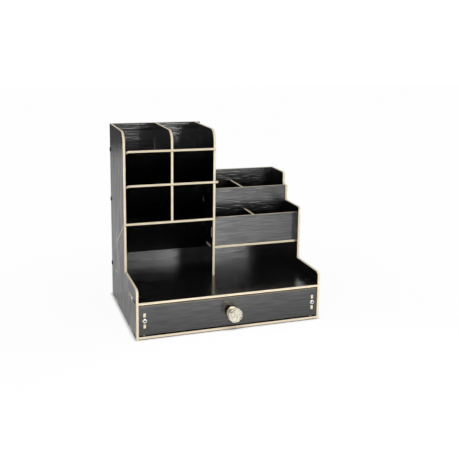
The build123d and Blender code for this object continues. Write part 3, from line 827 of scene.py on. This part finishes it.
class FastenerLook(bpy.types.PropertyGroup):
    """Sizes and colour of the bolts and nuts."""

    thread_pitch: bpy.props.FloatProperty(
        name="Thread pitch",
        description="Rise of the thread in one turn, in millimetres",
        min=0.3,
        max=2,
        default=0.7,
    )
    bolt_length: bpy.props.FloatProperty(
        name="Bolt length",
        description="Length of the board bolts under their heads, in millimetres",
        min=8,
        max=16,
        default=16,
    )
    screw_length: bpy.props.FloatProperty(
        name="Knob screw length",
        description="Length of the knob's screw under its head, in millimetres",
        min=8,
        max=12,
        default=12,
    )
    steel_colour: bpy.props.FloatVectorProperty(
        name="Steel",
        description="Colour of the bright plated steel",
        size=3,
        subtype="COLOR",
        min=0,
        max=1,
        default=(0.74, 0.73, 0.7),
    )
    # In the sockets of the bolt heads this black is painted shade
    black_colour: bpy.props.FloatVectorProperty(
        name="Blackened steel",
        description="Colour of the nuts, the shanks and the sockets",
        size=3,
        subtype="COLOR",
        min=0,
        max=1,
        default=(0.03, 0.03, 0.03),
    )


class KnobLook(bpy.types.PropertyGroup):
    """Colours of the drawer's knob."""

    stem_colour: bpy.props.FloatVectorProperty(
        name="Stem",
        description="Colour of the turned metal stem",
        size=3,
        subtype="COLOR",
        min=0,
        max=1,
        default=(0.86, 0.76, 0.58),
    )
    # Painted reflection: the flange is dark to stand in for the black drawer front that it reflects
    flange_reflection_colour: bpy.props.FloatVectorProperty(
        name="Flange",
        description="Colour of the stem's dark flange",
        size=3,
        subtype="COLOR",
        min=0,
        max=1,
        default=(0.03, 0.03, 0.033),
    )
    glass_colour: bpy.props.FloatVectorProperty(
        name="Crystal",
        description="Tint of the cut crystal",
        size=3,
        subtype="COLOR",
        min=0,
        max=1,
        default=(1.0, 0.94, 0.79),
    )
    leaf_colour: bpy.props.FloatVectorProperty(
        name="Backing",
        description="Colour of the metal leaf behind the crystal",
        size=3,
        subtype="COLOR",
        min=0,
        max=1,
        default=(0.97, 0.88, 0.71),
    )


class StageLook(bpy.types.PropertyGroup):
    """Light, floor and camera."""

    floor_size: bpy.props.FloatProperty(
        name="Floor",
        description="Half width of the floor",
        subtype="DISTANCE",
        min=1,
        max=20,
        default=6,
    )
    floor_white: bpy.props.FloatProperty(
        name="Floor whiteness",
        description="Share of plain white in what the camera sees of the floor",
        subtype="FACTOR",
        min=0,
        max=1,
        default=0.98,
    )
    shadow_reach: bpy.props.FloatProperty(
        name="Contact shadow",
        description="Width of the shadow that the floor shows round the organizer",
        subtype="DISTANCE",
        min=0.001,
        max=0.5,
        default=0.006,
    )
    shade_reach: bpy.props.FloatProperty(
        name="Shade",
        description="Width of the faint shade round the organizer",
        subtype="DISTANCE",
        min=0.01,
        max=2,
        default=0.35,
    )
    floor_shine: bpy.props.FloatProperty(
        name="Floor whiteness in reflections",
        description="Share of plain white in what gloss and glass show of the floor",
        subtype="FACTOR",
        min=0,
        max=1,
        default=0.1,
    )
    sky_level: bpy.props.FloatProperty(
        name="Sky level",
        description="Strength of the even light from all round",
        min=0,
        max=2,
        default=0.4,
    )
    key_power: bpy.props.FloatProperty(
        name="Key lamp",
        description="Power of the large lamp at the front",
        subtype="POWER",
        default=13.6,
    )
    top_power: bpy.props.FloatProperty(
        name="Top lamp",
        description="Power of the lamp overhead",
        subtype="POWER",
        default=12.0,
    )
    floor_power: bpy.props.FloatProperty(
        name="Floor lamp",
        description="Power of the lamp on the floor in front",
        subtype="POWER",
        default=5.5,
    )
    floor_spread: bpy.props.FloatProperty(
        name="Floor lamp spread",
        description="Angle of the floor lamp's beam",
        subtype="ANGLE",
        default=1.2,
    )
    focal_pixels: bpy.props.FloatProperty(
        name="Focal length",
        description="Focal length in pixels of the photograph",
        default=706.8,
    )
    axis_row: bpy.props.FloatProperty(
        name="Lens axis row",
        description="Pixel row of the lens axis in the photograph",
        default=180.0,
    )


LOOKS = {
    "board_look": BoardLook,
    "fastener_look": FastenerLook,
    "knob_look": KnobLook,
    "stage_look": StageLook,
}


# Operators


class DressBoards(bpy.types.Operator):
    """Give every board a laminate on its broad faces and raw fibre on its cut edges, with black
    painted shade on some cut faces
    """

    bl_idname = "organizer.dress_boards"
    bl_label = "Dress the boards"

    def execute(self, context):
        look = context.scene.board_look
        finishes = {direction: laminate(direction, look) for direction in GRAIN_TURNS}
        edge = sawn_edge("raw_edge", tuple(look.edge_colour))
        # Black edge finish that stands in for the shade in tab recesses and bolt slots: painted
        # shade
        shade_edge = sawn_edge("painted_shade_edge", tuple(look.painted_shade_colour))
        for name, (facing, direction) in BOARDS.items():
            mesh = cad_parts[name].data
            normals = np.zeros(len(mesh.polygons) * 3)
            mesh.polygons.foreach_get("normal", normals)
            normals = normals.reshape(-1, 3)
            broad = np.abs(normals @ np.array(facing)) > SAME_WAY
            if not broad.any():
                raise RuntimeError(f"{name} has no broad face")
            dark = self.painted_shade_faces(name, normals, middles(mesh) / MM)
            mesh.materials.clear()
            for finish in (finishes[direction], edge, shade_edge):
                mesh.materials.append(finish)
            # Cut faces picked as shaded places get the black edge finish, which is painted shade
            chosen = np.where(broad, 0, np.where(dark, 2, 1))
            mesh.polygons.foreach_set("material_index", chosen)
            mesh.update()
        return {"FINISHED"}

    def painted_shade_faces(self, name, normals, places):
        """Cut faces of a board that are painted black as shade, by their directions and middles."""
        low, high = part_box("case_bolts")
        depth, far_out = places[:, 1], np.abs(places[:, 0])
        chosen = np.zeros(len(places), bool)
        if name in FRONT_TABS_ONLY:
            chosen |= (np.abs(normals[:, 0]) > SAME_WAY) & (far_out > TAB_ENDS_FROM)
            if FRONT_TABS_ONLY[name]:
                chosen &= depth < low.y / MM
        if name == "table_board":
            beside = np.abs(depth - (low.y + high.y) / 2 / MM) < SLOT_HALF_WIDTH
            chosen |= beside & (far_out > SLOT_FROM) & (far_out < TAB_ENDS_FROM)
        return chosen


class MakeFasteners(bpy.types.Operator):
    """Make the threaded bolts, the square nuts and the knob's screw"""

    bl_idname = "organizer.make_fasteners"
    bl_label = "Make the fasteners"

    def execute(self, context):
        look = context.scene.fastener_look
        steel = metal("bright_steel", tuple(look.steel_colour))
        black = metal("blackened_steel_and_socket_shade", tuple(look.black_colour))
        bolt = bolt_surface(look.bolt_length, look.thread_pitch)
        nut = nut_surface(look.thread_pitch)
        for body, seats in (("case", case_seats()), ("drawer", drawer_seats())):
            for kind, shape, finish in (("bolts", bolt, steel), ("nuts", nut, black)):
                made = on_seats(*shape, seats)
                piece = add_piece(f"{body}_{kind}_steel", *made, finish, body, "fastener_steel")
                if kind == "bolts":
                    # Shanks in blackened steel; the head sockets in the same black as painted shade
                    give_part(piece, black, seats, shank_or_shaded_socket)
                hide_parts(f"{body}_{kind}")
        x, y, z = knob_seat(BOARD)
        screw_seat = (seat(x, y, z, ACROSS, (0, 1, 0)),)
        screw = on_seats(*bolt_surface(look.screw_length, look.thread_pitch), screw_seat)
        piece = add_piece("knob_screw_steel", *screw, steel, "drawer", "fastener_steel")
        # The screw head's socket gets the black as painted shade
        give_part(piece, black, screw_seat, shank_or_shaded_socket)
        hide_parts("knob_screw")
        return {"FINISHED"}


class CapTabEnds(bpy.types.Operator):
    """Cap the ends of the back panel's tabs in the two side panels with black painted shade"""

    bl_idname = "organizer.cap_tab_ends"
    bl_label = "Cap the tab ends"

    def execute(self, context):
        # The caps' black stands in for the shade in the tab recesses: painted shade
        black = sawn_edge("painted_shade_cap", tuple(context.scene.board_look.painted_shade_colour))
        low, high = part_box("back_panel")
        depth = (low.y + high.y) / 2 / MM
        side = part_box("right_side_panel")[1].x / MM
        seats = tuple(
            seat(hand * side, depth, height, DEEP, (hand, 0, 0))
            for hand, heights in TAB_END_HEIGHTS.items()
            for height in heights
        )
        caps = on_seats(*tab_end_surface(), seats)
        add_piece("back_tab_end_shade_caps", *caps, black, "case", "black_board", smooth=False)
        return {"FINISHED"}


class MakeKnob(bpy.types.Operator):
    """Turn the knob's stem and give the crystal its glass"""

    bl_idname = "organizer.make_knob"
    bl_label = "Make the knob"

    def execute(self, context):
        look = context.scene.knob_look
        brass = metal("pale_brass", tuple(look.stem_colour))
        low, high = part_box("knob_stem")
        length = (high.y - low.y) / MM
        seats = (seat(*knob_seat(0.0), ACROSS, (0, -1, 0)),)
        stem = on_seats(*stem_surface(length - LEAF_OUTER - LEAF_INNER), seats)
        piece = add_piece("turned_stem", *stem, brass, "drawer", "knob_metal")
        # The flange's dark metal stands in for its reflection of the black drawer: painted
        # reflection
        flange_reflection = metal("flange_painted_reflection", tuple(look.flange_reflection_colour))
        give_part(piece, flange_reflection, seats, flange_side)
        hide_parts("knob_stem")
        glass = crystal_glass(tuple(look.glass_colour))
        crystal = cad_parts["knob_crystal"].data
        crystal.materials.clear()
        crystal.materials.append(glass)
        # The leaf's dark specks are painted reflections
        leaf = metal("champagne_leaf", tuple(look.leaf_colour), LEAF_REFLECTION_SPECKS)
        backing = on_seats(*leaf_surface(), (seat(*knob_seat(-length), ACROSS, (0, -1, 0)),))
        add_piece("crystal_leaf", *backing, leaf, "drawer", "knob_metal", smooth=False)
        return {"FINISHED"}


def seen_directly(tree):
    """1 for rays from the camera, a reflection or a glass, 0 for the rays that light surfaces."""
    path = tree.nodes.new("ShaderNodeLightPath")
    direct = maths(tree, "MAXIMUM", path.outputs["Is Camera Ray"], path.outputs["Is Glossy Ray"])
    return maths(tree, "MAXIMUM", direct, path.outputs["Is Transmission Ray"])


def lamp(name, place, target, size, power):
    """Square soft lamp that the camera doesn't see."""
    light = bpy.data.lights.new(name, "AREA")
    light.shape = "SQUARE"
    light.size = size
    light.energy = power
    lamp_object = bpy.data.objects.new(name, light)
    lamp_object.location = place
    beam = Vector(target) - Vector(place)
    lamp_object.rotation_euler = beam.to_track_quat("-Z", "Y").to_euler()
    lamp_object.visible_camera = False
    bpy.context.scene.collection.objects.link(lamp_object)
    return lamp_object


class SetStage(bpy.types.Operator):
    """Lay the pale floor, hang the soft lamps and place the camera"""

    bl_idname = "organizer.set_stage"
    bl_label = "Set the stage"

    def execute(self, context):
        look = context.scene.stage_look
        self.lay_floor(look)
        self.light_world(context.scene, look)
        lamp("key_lamp", *KEY_LAMP, look.key_power)
        lamp("top_lamp", *TOP_LAMP, look.top_power)
        pool = lamp("floor_lamp", *FLOOR_LAMP, look.floor_power)
        pool.data.spread = look.floor_spread
        self.place_camera(context.scene, look)
        context.scene.view_settings.view_transform = "Standard"
        return {"FINISHED"}

    def lay_floor(self, look):
        """Level square just under the organizer."""
        corner = np.array((-1.0, 1.0)) * look.floor_size
        x, y = np.meshgrid(corner, corner)
        points = np.stack((x, y, np.full_like(x, -FLOOR_DROP)), axis=-1).reshape(-1, 3)
        mesh = bpy.data.meshes.new("floor")
        mesh.from_pydata(points.tolist(), [], [(0, 1, 3, 2)])
        mesh.materials.append(self.pale_floor(look))
        floor = bpy.data.objects.new("floor", mesh)
        bpy.context.scene.collection.objects.link(floor)

    def pale_floor(self, look):
        """Matt pale floor that is white to the camera and through glass, except near the organizer.

        Reflections show it a little whiter than it is lit, and nearly black far away.
        """
        material = bpy.data.materials.new("pale_floor")
        material.use_nodes = True
        tree = material.node_tree
        shader = tree.nodes["Principled BSDF"]
        shader.inputs["Base Color"].default_value = (FLOOR_GREY, FLOOR_GREY, FLOOR_GREY, 1)
        shader.inputs["Roughness"].default_value = FLOOR_ROUGHNESS
        shader.inputs["Specular IOR Level"].default_value = 0.0
        glow = tree.nodes.new("ShaderNodeEmission")
        mix = tree.nodes.new("ShaderNodeMixShader")
        rays = tree.nodes.new("ShaderNodeLightPath").outputs
        distance = self.distance_from_outline(tree)
        clear = maths(tree, "MAXIMUM", rays["Is Camera Ray"], rays["Is Transmission Ray"])
        white = maths(tree, "MULTIPLY", clear, self.open_floor(tree, distance, look))
        near = remap(tree, distance, 0.0, look.shade_reach, 0.0, look.floor_shine)
        far = remap(tree, distance, *FLOOR_FADES)
        gloss = maths(tree, "MULTIPLY", rays["Is Glossy Ray"], maths(tree, "MAXIMUM", near, far))
        fade = maths(tree, "MULTIPLY", rays["Is Glossy Ray"], far)
        tree.links.new(maths(tree, "MULTIPLY_ADD", fade, -FADED, 1.0), glow.inputs["Strength"])
        tree.links.new(maths(tree, "MAXIMUM", white, gloss), mix.inputs["Fac"])
        tree.links.new(shader.outputs[0], mix.inputs[1])
        tree.links.new(glow.outputs[0], mix.inputs[2])
        tree.links.new(mix.outputs[0], tree.nodes["Material Output"].inputs["Surface"])
        return material

    def distance_from_outline(self, tree):
        """Distance on the floor from the organizer's rectangular outline, 0 inside it."""
        place = tree.nodes.new("ShaderNodeTexCoord").outputs["Object"]
        apart = tree.nodes.new("ShaderNodeSeparateXYZ")
        tree.links.new(place, apart.inputs[0])
        low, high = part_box("bottom_board")
        middle, half = (low + high) / 2, (high - low) / 2
        past = []
        for label, centre, reach in (("X", middle.x, half.x), ("Y", middle.y, half.y)):
            offset = maths(tree, "ABSOLUTE", maths(tree, "SUBTRACT", apart.outputs[label], centre))
            past.append(maths(tree, "MAXIMUM", maths(tree, "SUBTRACT", offset, reach), 0.0))
        squares = maths(tree, "MULTIPLY", past[1], past[1])
        return maths(tree, "SQRT", maths(tree, "MULTIPLY_ADD", past[0], past[0], squares))

    def open_floor(self, tree, distance, look):
        """Whiteness of the floor to the camera: none underneath, and nearly all of it near by."""
        near = remap(tree, distance, 0.0, look.shadow_reach, 0.0, look.floor_white - FAR_WHITE)
        far = remap(tree, distance, 0.0, look.shade_reach, 0.0, FAR_WHITE)
        return maths(tree, "ADD", near, far)

    def light_world(self, scene, look):
        """White surroundings for what is seen directly, and an even, fainter light on surfaces."""
        world = bpy.data.worlds.new("studio")
        world.use_nodes = True
        tree = world.node_tree
        direct = seen_directly(tree)
        level = maths(tree, "MULTIPLY_ADD", direct, 1.0 - look.sky_level, look.sky_level)
        background = tree.nodes["Background"]
        background.inputs["Color"].default_value = (1, 1, 1, 1)
        tree.links.new(level, background.inputs["Strength"])
        scene.world = world

    def place_camera(self, scene, look):
        """Camera fitted to the photograph, with its lens axis above the middle row."""
        data = bpy.data.cameras.new("camera")
        data.sensor_width = SENSOR
        data.lens = look.focal_pixels * SENSOR / PHOTO_PIXELS
        data.shift_y = (look.axis_row - PHOTO_PIXELS / 2) / PHOTO_PIXELS
        camera = bpy.data.objects.new("camera", data)
        turn = Matrix.Rotation(np.radians(CAMERA_TURN), 4, "Z")
        tilt = Matrix.Rotation(np.radians(90 - CAMERA_DIP), 4, "X")
        roll = Matrix.Rotation(np.radians(CAMERA_ROLL), 4, "Z")
        camera.matrix_world = Matrix.Translation(CAMERA_PLACE) @ turn @ tilt @ roll
        scene.collection.objects.link(camera)
        scene.camera = camera


OPERATORS = (DressBoards, MakeFasteners, CapTabEnds, MakeKnob, SetStage)


class OrganizerPanel(bpy.types.Panel):
    """The steps that dress the organizer"""

    bl_idname = "VIEW3D_PT_organizer"
    bl_label = "Desk Organizer"
    bl_space_type = "VIEW_3D"
    bl_region_type = "UI"
    bl_category = "Organizer"

    def draw(self, context):
        for step in OPERATORS:
            self.layout.operator(step.bl_idname)


CLASSES = (*LOOKS.values(), *OPERATORS, OrganizerPanel)


def register():
    for item in CLASSES:
        bpy.utils.register_class(item)
    for name, kind in LOOKS.items():
        setattr(bpy.types.Scene, name, bpy.props.PointerProperty(type=kind))


def unregister():
    for name in LOOKS:
        delattr(bpy.types.Scene, name)
    for item in reversed(CLASSES):
        bpy.utils.unregister_class(item)


def main():
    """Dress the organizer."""
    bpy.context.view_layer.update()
    register()
    bpy.ops.organizer.dress_boards()
    bpy.ops.organizer.make_fasteners()
    bpy.ops.organizer.cap_tab_ends()
    bpy.ops.organizer.make_knob()
    bpy.ops.organizer.set_stage()


if __name__ == "__main__":
    main()
